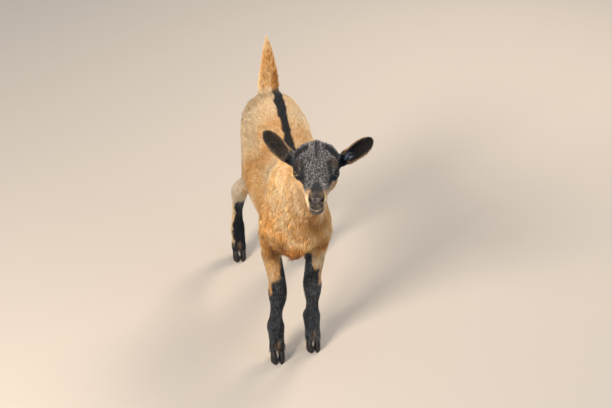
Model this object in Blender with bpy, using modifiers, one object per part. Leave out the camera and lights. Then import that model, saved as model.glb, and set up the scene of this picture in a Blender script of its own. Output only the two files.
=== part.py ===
"""A goat kid about five weeks old, standing with its head up and its tail raised.

Metres, +Z up. The kid faces -Y and its left side is +X. The origin is on the floor, under the
middle of the whole model. The flesh is fused from lofted shells and then parted by thin cuts
where a person names the parts. Outer shapes run to the tips of the coat.
"""

import math

import bmesh
import bpy
from mathutils import Euler, Matrix, Vector

# ---- Driving sizes, in metres ----
BODY_VOXEL, BODY_SMOOTHING = 0.0050, 24  # grain and fillet passes for the large masses
FINE_VOXEL, FINE_SMOOTHING = 0.0022, 9  # the same for the head, tail and lower legs
FLESH_TRIANGLES = 4300
PART_GAP = 0.0003  # width of the cuts between neighbouring parts

WITHERS_HEIGHT = 0.432
HIPS_ASIDE = -0.006
KNEE_HEIGHT = 0.155
HOCK_HEIGHT = 0.168
FETLOCK_HEIGHT = 0.070
KNEE_SPACING = 0.073
CORONET_HEIGHT = 0.024

EYE_MIDDLE = Vector((0.0165, -0.252, 0.516))  # point halfway between the two eyes
HEAD_TURN = math.radians(-9)  # the face turns to the kid's right
HEAD_NOD = math.radians(2.5)  # the nose points a little below the horizon
HEAD_ROLL = math.radians(0.5)
EYEBALL_RADIUS = 0.0108
EYE_OPENING = (0.0085, 0.0058)  # half length and half height between the lids
GAZE = Vector((0.83, -0.53, 0.16)).normalized()  # left eye, in the head's frame
EYE_PLACE = Vector((0.0298, 0.0000, 0.0030))  # left eyeball in the head's frame

EAR_LENGTH = 0.080
EAR_BASE = Vector((0.0390, 0.0370, 0.0050))  # left ear's root in the head's frame
EAR_WALL = 0.0032
LEFT_EAR_AIM = Vector((0.0590, 0.0340, 0.0215))
RIGHT_EAR_AIM = Vector((-0.0530, 0.0360, 0.0350))

TAIL_LENGTH = 0.140
CLAW_SPLAY = 0.0079  # from a foot's middle to the middle of each claw
DEWCLAW_RADII = Vector((0.0042, 0.0040, 0.0062))

# Half spacing of each foot, and where it stands along the body.
FOOT_PLACES = {
    "fore_left": (0.036, -0.101),
    "fore_right": (-0.042, -0.127),
    "hind_left": (0.083, 0.224),
    "hind_right": (-0.076, 0.246),
}

HEAD = Matrix.LocRotScale(EYE_MIDDLE, Euler((HEAD_NOD, HEAD_ROLL, HEAD_TURN)), None)


# ---- Scene ----
def clear_scene():
    for obj in list(bpy.data.objects):
        bpy.data.objects.remove(obj, do_unlink=True)


def new_collection(name):
    collection = bpy.data.collections.new(name)
    bpy.context.scene.collection.children.link(collection)
    return collection


def add_object(name, mesh, collection):
    obj = bpy.data.objects.new(name, mesh)
    collection.objects.link(obj)
    return obj


def mesh_from(bm, name):
    mesh = bpy.data.meshes.new(name)
    bm.to_mesh(mesh)
    bm.free()
    return mesh


def coat_material(name, colour, roughness):
    material = bpy.data.materials.new(name)
    material.use_nodes = True
    shader = material.node_tree.nodes["Principled BSDF"]
    shader.inputs["Base Color"].default_value = (*colour, 1.0)
    shader.inputs["Roughness"].default_value = roughness
    shader.inputs["Metallic"].default_value = 0.0
    material.diffuse_color = (*colour, 1.0)
    return material


# ---- Lofts ----
def smooth_rows(rows, steps):
    """Catmull-Rom curve through rows of numbers, with this many steps for each span."""
    padded = [rows[0], *rows, rows[-1]]
    found = []
    for i in range(len(rows) - 1):
        before, start, end, after = padded[i : i + 4]
        for k in range(steps):
            t = k / steps
            found.append(
                [
                    0.5
                    * (
                        2 * b
                        + (c - a) * t
                        + (2 * a - 5 * b + 4 * c - d) * t * t
                        + (3 * b - a - 3 * c + d) * t**3
                    )
                    for a, b, c, d in zip(before, start, end, after)
                ]
            )
    return [*found, list(rows[-1])]


def oval(centre, side, up, half, rise, drop, power=2.0, sides=28):
    """A ring that is half wide to each side, rise above its centre and drop below it."""
    points = []
    for k in range(sides):
        c, s = math.cos(math.tau * k / sides), math.sin(math.tau * k / sides)
        x = half * math.copysign(abs(c) ** (2 / power), c)
        z = (rise if s > 0 else drop) * math.copysign(abs(s) ** (2 / power), s)
        points.append(centre + side * x + up * z)
    return points


def loft(bm, rings):
    """Adds one closed shell over the rings."""
    loops = [[bm.verts.new(p) for p in ring] for ring in rings]
    faces = [bm.faces.new(loops[0]), bm.faces.new(loops[-1])]
    for low, high in zip(loops, loops[1:]):
        for i in range(len(low)):
            j = (i + 1) % len(low)
            faces.append(bm.faces.new((low[i], low[j], high[j], high[i])))
    bmesh.ops.recalc_face_normals(bm, faces=faces)


def ball(bm, centre, radii, turn=None):
    """Adds an ellipsoid. turn is the matrix of the frame that centre and radii are in."""
    place = (turn or Matrix()) @ Matrix.Translation(centre) @ Matrix.Diagonal((*radii, 1.0))
    bmesh.ops.create_uvsphere(bm, u_segments=24, v_segments=14, radius=1.0, matrix=place)


# ---- Trunk and neck ----
def trunk(bm):
    """Rows run from the breast to the pins: place along Y, middle, half width, rise, drop.
    The hips lie a little to the kid's right."""
    top = WITHERS_HEIGHT
    rows = [
        (-0.172, 0.326, 0.015, 0.022, 0.022),
        (-0.165, 0.328, 0.031, 0.044, 0.042),
        (-0.149, 0.331, 0.048, 0.066, 0.060),
        (-0.120, 0.335, 0.060, 0.084, 0.074),
        (-0.070, 0.338, 0.067, top - 0.340, 0.084),
        (-0.010, 0.334, 0.075, top - 0.338, 0.089),
        (0.040, 0.334, 0.081, top - 0.340, 0.088),
        (0.090, 0.341, 0.078, top - 0.340, 0.078),
        (0.135, 0.354, 0.073, top - 0.347, 0.066),
        (0.172, 0.367, 0.069, top - 0.356, 0.060),
        (0.204, 0.376, 0.062, 0.065, 0.056),
        (0.223, 0.378, 0.046, 0.048, 0.040),
        (0.232, 0.378, 0.021, 0.022, 0.019),
    ]
    side, up = Vector((1, 0, 0)), Vector((0, 0, 1))
    rings = []
    for y, mid, half, rise, drop in smooth_rows(rows, 3):
        back = min(1.0, max(0.0, (y - 0.04) / 0.12))
        centre = Vector((HIPS_ASIDE * back, y, mid))
        rings.append(oval(centre, side, up, half, rise, drop, power=2.2 + 0.35 * back))
    loft(bm, rings)


def neck(bm):
    """Rows climb from the withers to the back of the head: centre, half width, half depth."""
    rows = [
        (0.000, -0.040, 0.325, 0.052, 0.076),
        (0.000, -0.072, 0.346, 0.061, 0.089),
        (0.002, -0.113, 0.382, 0.055, 0.079),
        (0.007, -0.150, 0.424, 0.045, 0.061),
        (0.013, -0.179, 0.460, 0.038, 0.050),
        (0.018, -0.204, 0.492, 0.034, 0.042),
        (0.020, -0.224, 0.510, 0.030, 0.034),
    ]
    smooth = smooth_rows(rows, 3)
    rings = []
    for i, (x, y, z, half, deep) in enumerate(smooth):
        ahead, behind = smooth[min(i + 1, len(smooth) - 1)], smooth[max(i - 1, 0)]
        along = (Vector(ahead[:3]) - Vector(behind[:3])).normalized()
        up = Vector((1, 0, 0)).cross(along).normalized()
        side = along.cross(up)
        rings.append(oval(Vector((x, y, z)), side, up, half, deep, deep))
    loft(bm, rings)


# ---- Head, in its own frame: -Y to the nose, +Z out of the forehead ----
def head(bm):
    """Rows run from the nape to the nose: place, middle, half width, rise, drop, slant, power."""
    rows = [
        (0.064, 0.004, 0.020, 0.017, 0.018, 0.00, 2.0),
        (0.056, 0.004, 0.033, 0.030, 0.030, 0.00, 2.3),
        (0.042, 0.003, 0.0420, 0.0375, 0.040, 0.00, 2.45),
        (0.023, 0.001, 0.0435, 0.0370, 0.044, 0.00, 2.45),
        (0.005, 0.000, 0.0395, 0.0325, 0.047, 0.00, 2.4),
        (-0.010, -0.002, 0.0325, 0.0275, 0.0450, 0.04, 2.3),
        (-0.023, -0.004, 0.0270, 0.0230, 0.0420, 0.08, 2.3),
        (-0.035, -0.006, 0.0228, 0.0190, 0.0390, 0.10, 2.3),
        (-0.046, -0.009, 0.0208, 0.0162, 0.0375, 0.10, 2.4),
        (-0.056, -0.012, 0.0200, 0.0142, 0.0365, 0.08, 2.5),
        (-0.063, -0.0150, 0.0180, 0.0118, 0.0320, 0.06, 2.4),
        (-0.0675, -0.0175, 0.0130, 0.0080, 0.0220, 0.05, 2.2),
    ]
    side = Vector((1, 0, 0))
    rings = []
    for y, mid, half, rise, drop, slant, power in smooth_rows(rows, 3):
        up = Vector((0, -slant, 1))
        ring = oval(Vector((0, y, mid)), side, up, half, rise, drop, power)
        rings.append([HEAD @ p for p in ring])
    loft(bm, rings)
    for way in (1, -1):
        brow = Vector((way * EYE_PLACE.x, EYE_PLACE.y + 0.001, EYE_PLACE.z + 0.001))
        ball(bm, brow, (0.0126, 0.0175, 0.0150), HEAD)
        cheek = Vector((way * 0.0225, 0.022, -0.022))
        ball(bm, cheek, (0.0180, 0.0290, 0.0245), HEAD)
        ear_root = Vector((way * 0.036, 0.039, 0.004))
        ball(bm, ear_root, (0.0105, 0.0125, 0.0130), HEAD)
        lip = Vector((way * 0.0085, -0.0525, -0.0310))
        ball(bm, lip, (0.0115, 0.0140, 0.0145), HEAD)


# ---- Tail ----
def tail(bm):
    """Rows climb from the croup to the tip: lean to the side, lean back, height share, half sizes."""
    root = Vector((-0.008, 0.205, 0.405))
    rows = [
        (0.000, 0.000, 0.00, 0.0245, 0.0210),
        (0.000, 0.008, 0.14, 0.0235, 0.0195),
        (0.001, 0.012, 0.33, 0.0190, 0.0165),
        (0.001, 0.013, 0.55, 0.0148, 0.0132),
        (0.000, 0.012, 0.76, 0.0105, 0.0098),
        (-0.002, 0.009, 0.92, 0.0056, 0.0056),
        (-0.004, 0.007, 1.00, 0.0018, 0.0018),
    ]
    side, front = Vector((1, 0, 0)), Vector((0, -1, 0))
    length = TAIL_LENGTH + 0.02
    rings = [
        oval(root + Vector((x, y, share * length)), side, front, half, deep, deep)
        for x, y, share, half, deep in smooth_rows(rows, 3)
    ]
    loft(bm, rings)


# ---- Legs ----
def limb(bm, rows):
    """Rows go down the leg: centre x, y, z, half width across, half depth fore and aft."""
    rings = [
        oval(Vector((x, y, z)), Vector((1, 0, 0)), Vector((0, -1, 0)), half, deep, deep, 2.1)
        for x, y, z, half, deep in smooth_rows(rows, 3)
    ]
    loft(bm, rings)


def digits(bm, x, y, heel):
    """The two toes of a foot, from the fetlock down to where the claws begin."""
    for way in (1, -1):
        rows = [
            (x + way * 0.0050, y + heel, FETLOCK_HEIGHT - 0.010, 0.0100, 0.0140),
            (x + way * 0.0068, y + heel * 0.55, 0.046, 0.0092, 0.0135),
            (x + way * CLAW_SPLAY, y + heel * 0.15, 0.030, 0.0072, 0.0130),
            (x + way * CLAW_SPLAY, y, 0.012, 0.0060, 0.0120),
        ]
        limb(bm, rows)


def foreleg(bm, way, foot):
    x, y = foot
    shoulder, knee = way * 0.046, way * KNEE_SPACING / 2
    limb(
        bm,
        [
            (shoulder * 0.80, -0.098, 0.375, 0.020, 0.036),
            (shoulder * 0.96, -0.106, 0.335, 0.0255, 0.048),
            (shoulder, -0.100, 0.298, 0.0260, 0.045),
            (shoulder, -0.086, 0.262, 0.0230, 0.036),
            (shoulder * 0.99, -0.080, 0.232, 0.0205, 0.0275),
            (shoulder * 0.4 + knee * 0.6, y * 0.25 - 0.062, 0.200, 0.0185, 0.0225),
            (knee, y * 0.45 - 0.044, 0.176, 0.0178, 0.0205),
            (knee, y * 0.5 - 0.038, KNEE_HEIGHT, 0.0194, 0.0218),
            (knee, y * 0.55 - 0.034, 0.134, 0.0168, 0.0185),
            (knee * 0.4 + x * 0.6, y * 0.65 - 0.025, 0.110, 0.0130, 0.0148),
            (x, y * 0.75 - 0.014, 0.088, 0.0142, 0.0158),
            (x, y + 0.020, FETLOCK_HEIGHT, 0.0174, 0.0185),
            (x, y + 0.015, 0.054, 0.0160, 0.0165),
            (x, y + 0.009, 0.042, 0.0145, 0.0130),
        ],
    )
    digits(bm, x, y, 0.018)


def hindleg(bm, way, foot):
    x, y = foot
    pins = 0.215  # the level of the point of the buttock along the body
    reach = y - pins
    limb(
        bm,
        [
            (way * 0.032, 0.150, 0.405, 0.030, 0.052),
            (way * 0.038, 0.150, 0.375, 0.0330, 0.070),
            (way * 0.042, 0.148, 0.340, 0.0325, 0.075),
            (way * 0.046, 0.148, 0.305, 0.0295, 0.070),
            (way * 0.049, 0.153 + reach * 0.1, 0.272, 0.0260, 0.058),
            (way * 0.052, 0.172 + reach * 0.25, 0.240, 0.0215, 0.044),
            (way * 0.030 + x * 0.42, 0.196 + reach * 0.45, 0.212, 0.0175, 0.033),
            (way * 0.018 + x * 0.66, 0.214 + reach * 0.75, 0.190, 0.0155, 0.0275),
            (x * 0.93, 0.224 + reach * 0.9, HOCK_HEIGHT, 0.0158, 0.0240),
            (x * 0.96, 0.228 + reach, 0.145, 0.0138, 0.0185),
            (x, 0.230 + reach, 0.116, 0.0122, 0.0148),
            (x, 0.232 + reach, 0.090, 0.0132, 0.0150),
            (x, 0.234 + reach, FETLOCK_HEIGHT, 0.0162, 0.0175),
            (x, 0.229 + reach, 0.054, 0.0152, 0.0158),
            (x, 0.224 + reach, 0.042, 0.0142, 0.0125),
        ],
    )
    digits(bm, x, y, 0.016)


# ---- Fusing and parting ----
def evaluated_mesh(obj):
    graph = bpy.context.evaluated_depsgraph_get()
    return bpy.data.meshes.new_from_object(obj.evaluated_get(graph))


def fuse(bm, name, helpers, voxel, passes):
    """Makes one body of the shells in bm and rounds the creases between them."""
    shells = add_object(name, mesh_from(bm, name), helpers)
    remesh = shells.modifiers.new("fuse", "REMESH")
    remesh.mode = "VOXEL"
    remesh.voxel_size = voxel
    smooth = shells.modifiers.new("fillet", "SMOOTH")
    smooth.factor, smooth.iterations = 0.5, passes
    hide_helper(shells)
    return shells


def legs(bm):
    for place, foot in FOOT_PLACES.items():
        way = 1 if place.endswith("left") else -1
        (foreleg if place.startswith("fore") else hindleg)(bm, way, foot)


def fused_flesh(helpers):
    """One closed body of all the flesh but the ears, thinned to its triangle budget."""
    bm = bmesh.new()
    trunk(bm)
    neck(bm)
    legs(bm)
    masses = fuse(bm, "masses", helpers, BODY_VOXEL, BODY_SMOOTHING)
    bm = bmesh.new()
    bm.from_mesh(evaluated_mesh(masses))
    head(bm)
    tail(bm)
    legs(bm)
    shells = fuse(bm, "flesh_shells", helpers, FINE_VOXEL, FINE_SMOOTHING)
    fine = evaluated_mesh(shells)
    fine.calc_loop_triangles()
    thin = shells.modifiers.new("thin", "DECIMATE")
    thin.ratio = FLESH_TRIANGLES / len(fine.loop_triangles)
    flesh = add_object("flesh", evaluated_mesh(shells), helpers)
    hide_helper(flesh)
    return flesh


def hide_helper(obj):
    obj.hide_render = True
    obj.display_type = "WIRE"


def block(name, centre, planes, helpers, grow=0.0):
    """A convex cutter: a large cube trimmed by planes, each a point and an outward normal."""
    bm = bmesh.new()
    bmesh.ops.create_cube(bm, size=0.8, matrix=Matrix.Translation(centre))
    for point, normal in planes:
        normal = Vector(normal).normalized()
        cut = bmesh.ops.bisect_plane(
            bm,
            geom=[*bm.verts, *bm.edges, *bm.faces],
            plane_co=Vector(point) + normal * grow,
            plane_no=normal,
            clear_outer=True,
        )
        edges = [e for e in cut["geom_cut"] if isinstance(e, bmesh.types.BMEdge)]
        bmesh.ops.contextual_create(bm, geom=edges)
    bmesh.ops.recalc_face_normals(bm, faces=bm.faces)
    obj = add_object(name, mesh_from(bm, name), helpers)
    hide_helper(obj)
    return obj


def boolean(obj, cutter, operation):
    modifier = obj.modifiers.new(operation.lower(), "BOOLEAN")
    modifier.operation = operation
    modifier.solver = "EXACT"
    modifier.object = cutter


def leg_planes(place, foot):
    """The block that parts a leg: up and in by the armpit or groin, down to the coronet."""
    x, y = foot
    way = 1 if place.endswith("left") else -1
    coronet = ((x, y, CORONET_HEIGHT), (0, -0.33, -1))
    inner = ((way * 0.004, 0, 0), (-way, 0, 0))
    if place.startswith("fore"):
        top = ((way * 0.050, 0, 0.286), (-way * 0.80, 0, 0.60))
        return [top, inner, coronet, ((0, -0.046, 0.28), (0, 1, 0.25))]
    top = ((way * 0.050, 0, 0.332), (-way * 0.82, 0, 0.57))
    flank = ((0, 0.088, 0.300), (0, -0.96, 0.28))
    return [top, inner, coronet, flank]


def cut_planes():
    """Each named part with the planes that bound it, normals pointing out of it."""
    nape = (HEAD @ Vector((0, 0.044, 0)), (HEAD.to_3x3() @ Vector((0, 0.93, -0.36))))
    parts = {
        "head": [nape],
        "neck": [((0, -0.118, 0.388), (0, 0.66, -0.75))],
        "tail": [((0, 0.212, 0.433), (0, -0.45, -0.89)), ((0, 0.15, 0), (0, -1, 0))],
    }
    for place, foot in FOOT_PLACES.items():
        kind, side = place.split("_")
        parts[f"{kind}leg_{side}"] = leg_planes(place, foot)
    return parts


def part_flesh(flesh, model, helpers, materials):
    """Cuts the fused flesh into its parts and returns them by name."""
    planes = cut_planes()
    middle = Vector((0, 0, 0.3))
    keep = {name: block("keep_" + name, middle, cut, helpers) for name, cut in planes.items()}
    clear = {
        name: block("clear_" + name, middle, cut, helpers, PART_GAP)
        for name, cut in planes.items()
    }
    feet = block("feet", middle, [((0, 0, 0.1), (0, 0, 1))], helpers)
    made = {}
    for name in ["trunk", *planes]:
        obj = add_object(name, flesh.data.copy(), model)
        obj.data.materials.clear()
        obj.data.materials.append(materials["leg" if "leg" in name else "coat"])
        if name == "trunk":
            for other in planes:
                boolean(obj, clear[other], "DIFFERENCE")
            boolean(obj, feet, "DIFFERENCE")
        else:
            boolean(obj, keep[name], "INTERSECT")
        if name == "neck":
            boolean(obj, clear["head"], "DIFFERENCE")
        made[name] = obj
    return made


def clip(bm, point, normal):
    """Cuts away what lies beyond the plane and closes the cut."""
    cut = bmesh.ops.bisect_plane(
        bm,
        geom=[*bm.verts, *bm.edges, *bm.faces],
        plane_co=point,
        plane_no=normal,
        clear_outer=True,
    )
    edges = [e for e in cut["geom_cut"] if isinstance(e, bmesh.types.BMEdge)]
    bmesh.ops.contextual_create(bm, geom=edges)
    bmesh.ops.recalc_face_normals(bm, faces=bm.faces)


# ---- Horn ----
def claws(place, foot, model, material):
    """The two claws of a foot: upright walls over a flat sole, higher at the toe."""
    x, y = foot
    for way in (1, -1):
        which = "outer" if (way > 0) == place.endswith("left") else "inner"
        middle = x + way * CLAW_SPLAY
        rows = [
            (middle, y + 0.001, 0.034, 0.0062, 0.0120),
            (middle, y - 0.001, 0.024, 0.0067, 0.0132),
            (middle, y - 0.004, 0.012, 0.0070, 0.0148),
            (middle, y - 0.006, 0.003, 0.0071, 0.0160),
            (middle, y - 0.006, 0.000, 0.0068, 0.0155),
        ]
        rings = []
        for cx, cy, z, half, deep in rows:
            ring = oval(
                Vector((cx, cy, z)), Vector((1, 0, 0)), Vector((0, -1, 0)), half, deep,
                deep * 0.85, 2.5, 14,
            )
            rings.append(ring)
        bm = bmesh.new()
        loft(bm, rings)
        slope = Vector((0, 0.33, 1)).normalized()
        clip(bm, Vector((x, y, CORONET_HEIGHT)) - slope * PART_GAP, slope)
        name = f"claw_{place}_{which}"
        obj = add_object(name, mesh_from(bm, name), model)
        obj.data.materials.append(material)


def dewclaws(place, foot, leg, model, helpers, material):
    """Two small horny studs behind the fetlock, each set in a hollow of the leg."""
    x, y = foot
    back = 0.0330 if place.startswith("fore") else 0.0305
    for way in (1, -1):
        which = "outer" if (way > 0) == place.endswith("left") else "inner"
        name = f"dewclaw_{place}_{which}"
        centre = Vector((x + way * 0.0078, y + back, FETLOCK_HEIGHT - 0.014))
        for label, grow in ((name, 0.0), ("hollow_" + name, PART_GAP)):
            bm = bmesh.new()
            radii = DEWCLAW_RADII + Vector((grow, grow, grow))
            place_matrix = Matrix.Translation(centre) @ Matrix.Diagonal((*radii, 1.0))
            bmesh.ops.create_uvsphere(
                bm, u_segments=8, v_segments=6, radius=1.0, matrix=place_matrix
            )
            home = helpers if grow else model
            obj = add_object(label, mesh_from(bm, label), home)
            if grow:
                hide_helper(obj)
                boolean(leg, obj, "DIFFERENCE")
            else:
                obj.data.materials.append(material)


# ---- Eyes ----
def eyes(head_part, model, helpers, material):
    for side, way in (("left", 1), ("right", -1)):
        centre = HEAD @ Vector((way * EYE_PLACE.x, EYE_PLACE.y, EYE_PLACE.z))
        for name, radius, home in (
            (f"eye_{side}", EYEBALL_RADIUS, model),
            (f"socket_{side}", EYEBALL_RADIUS + PART_GAP * 2, helpers),
        ):
            bm = bmesh.new()
            bmesh.ops.create_uvsphere(
                bm, u_segments=14, v_segments=10, radius=radius,
                matrix=Matrix.Translation(centre),
            )
            obj = add_object(name, mesh_from(bm, name), home)
            if home is helpers:
                hide_helper(obj)
                boolean(head_part, obj, "DIFFERENCE")
            else:
                obj.data.materials.append(material)
        gaze = HEAD.to_3x3() @ Vector((way * GAZE.x, GAZE.y, GAZE.z))
        up = HEAD.to_3x3() @ Vector((0, 0, 1))
        along = up.cross(gaze).normalized()
        up = gaze.cross(along)
        long_half, tall_half = EYE_OPENING
        rings = [
            oval(centre + gaze * reach, along, up, long_half * wide, tall_half * wide,
                 tall_half * wide, 2.0, 14)
            for reach, wide in ((0.004, 1.0), (0.011, 1.0), (0.030, 1.6))
        ]
        bm = bmesh.new()
        loft(bm, rings)
        opening = add_object(f"lids_{side}", mesh_from(bm, f"lids_{side}"), helpers)
        hide_helper(opening)
        boolean(head_part, opening, "DIFFERENCE")


# ---- Ears ----
def ear_surface(aim, way):
    """A cupped leaf: a nearly closed funnel at its root that opens and narrows to the tip."""
    axis = (HEAD.to_3x3() @ aim).normalized()
    root = HEAD @ Vector((way * EAR_BASE.x, EAR_BASE.y, EAR_BASE.z))
    front = HEAD.to_3x3() @ Vector((way * 0.25, -0.80, 0.35))
    side = axis.cross(front).normalized()
    front = side.cross(axis).normalized()
    rows = [  # share of the length, half width, half of the arc that it covers in degrees
        (0.00, 0.0095, 150),
        (0.12, 0.0110, 125),
        (0.26, 0.0138, 95),
        (0.42, 0.0162, 72),
        (0.58, 0.0172, 58),
        (0.74, 0.0156, 48),
        (0.87, 0.0114, 42),
        (0.96, 0.0064, 38),
        (1.00, 0.0022, 35),
    ]
    across = 8
    bm = bmesh.new()
    lines = []
    for share, half, arc in rows:
        arc = math.radians(arc)
        radius = half / math.sin(min(arc, math.pi / 2))
        line = []
        for k in range(across + 1):
            angle = arc * (2 * k / across - 1)
            point = root + axis * (share * EAR_LENGTH)
            point += side * (radius * math.sin(angle))
            point += front * (radius * (1 - math.cos(angle)))
            line.append(bm.verts.new(point))
        lines.append(line)
    for low, high in zip(lines, lines[1:]):
        for i in range(across):
            bm.faces.new((low[i], low[i + 1], high[i + 1], high[i]))
    return bm


def ears(head_part, model, helpers, material):
    """Each ear is trimmed where its root meets the head."""
    trim = add_object("head_outline", evaluated_mesh(head_part), helpers)
    bm = bmesh.new()
    bm.from_mesh(trim.data)
    for vert in bm.verts:
        vert.co += vert.normal * PART_GAP * 1.5
    bm.to_mesh(trim.data)
    bm.free()
    hide_helper(trim)
    for side, way, aim in (("left", 1, LEFT_EAR_AIM), ("right", -1, RIGHT_EAR_AIM)):
        bm = ear_surface(aim, way)
        sheet = add_object(f"ear_sheet_{side}", mesh_from(bm, "ear_sheet"), helpers)
        thick = sheet.modifiers.new("wall", "SOLIDIFY")
        thick.thickness, thick.offset, thick.use_even_offset = EAR_WALL, 0.0, True
        hide_helper(sheet)
        bm = bmesh.new()
        bm.from_mesh(evaluated_mesh(sheet))
        bmesh.ops.recalc_face_normals(bm, faces=bm.faces)
        ear = add_object(f"ear_{side}", mesh_from(bm, f"ear_{side}"), model)
        ear.data.materials.append(material)
        boolean(ear, trim, "DIFFERENCE")


# ---- The whole kid ----
def settle_origin(model):
    """Moves everything so that the origin is on the floor under the middle of the box."""
    corners = []
    for obj in model.objects:
        corners += [v.co for v in evaluated_mesh(obj).vertices]
    lows = [min(c[i] for c in corners) for i in range(3)]
    highs = [max(c[i] for c in corners) for i in range(3)]
    shift = Vector((-(lows[0] + highs[0]) / 2, -(lows[1] + highs[1]) / 2, -lows[2]))
    for obj in bpy.data.objects:
        obj.location = shift


def main():
    clear_scene()
    model, helpers = new_collection("goat_kid"), new_collection("cutters")
    materials = {
        "coat": coat_material("coat_tan", (0.55, 0.33, 0.17), 0.8),
        "leg": coat_material("coat_black", (0.035, 0.037, 0.042), 0.75),
        "horn": coat_material("horn", (0.05, 0.042, 0.036), 0.5),
        "eye": coat_material("eye", (0.45, 0.42, 0.36), 0.15),
    }
    flesh = fused_flesh(helpers)
    parts = part_flesh(flesh, model, helpers, materials)
    for place, foot in FOOT_PLACES.items():
        kind, side = place.split("_")
        claws(place, foot, model, materials["horn"])
        dewclaws(place, foot, parts[f"{kind}leg_{side}"], model, helpers, materials["horn"])
    eyes(parts["head"], model, helpers, materials["eye"])
    ears(parts["head"], model, helpers, materials["leg"])
    for obj in model.objects:
        obj.data.shade_smooth()
        if obj.name.startswith("claw"):
            obj.data.set_sharp_from_angle(angle=math.radians(40))
    settle_origin(model)


main()
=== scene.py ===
import math
from functools import partial
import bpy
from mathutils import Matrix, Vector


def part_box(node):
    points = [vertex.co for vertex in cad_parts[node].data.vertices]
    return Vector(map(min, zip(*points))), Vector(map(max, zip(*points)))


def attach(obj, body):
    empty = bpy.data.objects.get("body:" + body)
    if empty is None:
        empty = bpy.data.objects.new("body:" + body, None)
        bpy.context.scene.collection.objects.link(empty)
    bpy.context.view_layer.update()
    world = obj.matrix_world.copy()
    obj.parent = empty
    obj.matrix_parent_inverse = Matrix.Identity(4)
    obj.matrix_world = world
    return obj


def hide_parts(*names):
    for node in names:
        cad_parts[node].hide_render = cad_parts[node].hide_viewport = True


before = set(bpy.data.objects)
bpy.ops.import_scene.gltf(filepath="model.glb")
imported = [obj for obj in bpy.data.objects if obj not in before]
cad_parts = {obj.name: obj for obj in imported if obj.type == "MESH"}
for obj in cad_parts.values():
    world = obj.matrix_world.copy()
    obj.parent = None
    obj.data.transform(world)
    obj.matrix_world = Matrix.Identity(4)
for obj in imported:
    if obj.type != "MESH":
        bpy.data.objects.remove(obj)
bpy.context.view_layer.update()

from types import SimpleNamespace

import bmesh
import bpy
import numpy as np
from mathutils import Euler, Vector
from mathutils.bvhtree import BVHTree
from mathutils.kdtree import KDTree

# ---- Hide ----
# One tanned hide drawn over the whole body, from the lips to the coronets of the feet.
# It is glued down, lies inside the tips of the coat by the coat's depth, and is left bare only
# on the nose, the lips and the rims of the eyes.
MM = 0.001
HIDE_GRAIN = 2.5 * MM  # size of the first even net of faces
SEAM_FILL = 0.5 * MM  # closes the thin cuts between the body's parts
EAR_FILL = 1.1 * MM  # thin ears are thickened while the net is made, and thinned again after
FLESH = [
    "head", "neck", "trunk", "tail", "ear_left", "ear_right",
    "foreleg_left", "foreleg_right", "hindleg_left", "hindleg_right",
]
SIDES = {"left": 1, "right": -1}
EYE_RADIUS = 10.8 * MM
LID_OPENING = (6.5 * MM, 4 * MM)
LID_THICK, SOCKET_DEPTH = 1.15 * MM, 2.2 * MM
EAR_LENGTH = 80 * MM

scene = bpy.context.scene
head_turn = Euler((math.radians(2.5), math.radians(0.5), math.radians(-9))).to_matrix()
head_axes = np.array(head_turn)
eyeball = {side: sum(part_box(f"eye_{side}"), Vector()) / 2 for side in SIDES}
between_eyes = (eyeball["left"] + eyeball["right"]) / 2 - head_turn @ Vector((0, 0, 3 * MM))
# The body's own zero: on the floor, in the plane of the spine, level with the middle of the ribs.
own_zero = between_eyes - Vector((0.0165, -0.252, 0.516))


def in_head(points):
    """Turns points into the head's frame: +X its left, -Y ahead to the nose, +Z out of the crown."""
    return (points - between_eyes) @ head_axes


def in_body(points):
    return points - own_zero


def on_face(points):
    """Millimetres across the head to its left, ahead of its middle and up, point by point."""
    x, y, z = in_head(points).T / MM
    return x, -y, z


def ramp(values, start, end):
    """0 at start, 1 at end, smooth between. start may be above end."""
    share = np.clip((values - start) / (end - start), 0, 1)
    return share * share * (3 - 2 * share)


def bell(values, middle, half):
    return np.exp(-(((values - middle) / half) ** 2))


def unit(vectors):
    vectors = np.asarray(vectors)
    return vectors / np.maximum(np.linalg.norm(vectors, axis=-1, keepdims=True), 1e-9)


def dot(a, b):
    return np.sum(a * np.asarray(b), axis=-1)


def ripple(points, size, seed):
    """An even, smooth wandering between about -1 and 1, with hills of the given size."""
    waves = np.random.default_rng(seed)
    total = np.zeros(len(points))
    for _ in range(7):
        way = unit(waves.normal(size=3)) * (math.tau / size) * waves.uniform(0.35, 0.75)
        total += np.sin(points @ way + waves.uniform(0, math.tau))
    return total / 2.4


EAR_BASE = {side: np.array((way * 0.039, 0.037, 0.005)) for side, way in SIDES.items()}
EAR_AIM = {"left": unit((0.059, 0.034, 0.0215)), "right": unit((-0.053, 0.036, 0.035))}
EAR_FRONT = {side: unit((way * 0.25, -0.8, 0.35)) for side, way in SIDES.items()}
EAR_ACROSS = {side: unit(np.cross(EAR_AIM[side], EAR_FRONT[side])) for side in SIDES}
EAR_REACH = (0.1, 0.2, 0.35, 0.5, 0.6, 0.7, 0.8, 0.9, 1)  # shares of the ear's length
EAR_HALF = (11.3, 13.7, 15.3, 16.7, 16.6, 15.6, 14, 10.8, 4.8)  # half its width there, in mm


def along_ear(points, side):
    """Share of the ear's length from root to tip, distance from its middle line, distance across
    it, and that as a share of the way to its edge."""
    from_root = in_head(points) - EAR_BASE[side]
    reach = dot(from_root, EAR_AIM[side])
    off = np.linalg.norm(from_root - reach[:, None] * EAR_AIM[side], axis=1)
    reach /= EAR_LENGTH
    across = dot(from_root, EAR_ACROSS[side])
    return reach, off, across, np.abs(across) / MM / np.interp(reach, EAR_REACH, EAR_HALF)


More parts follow.
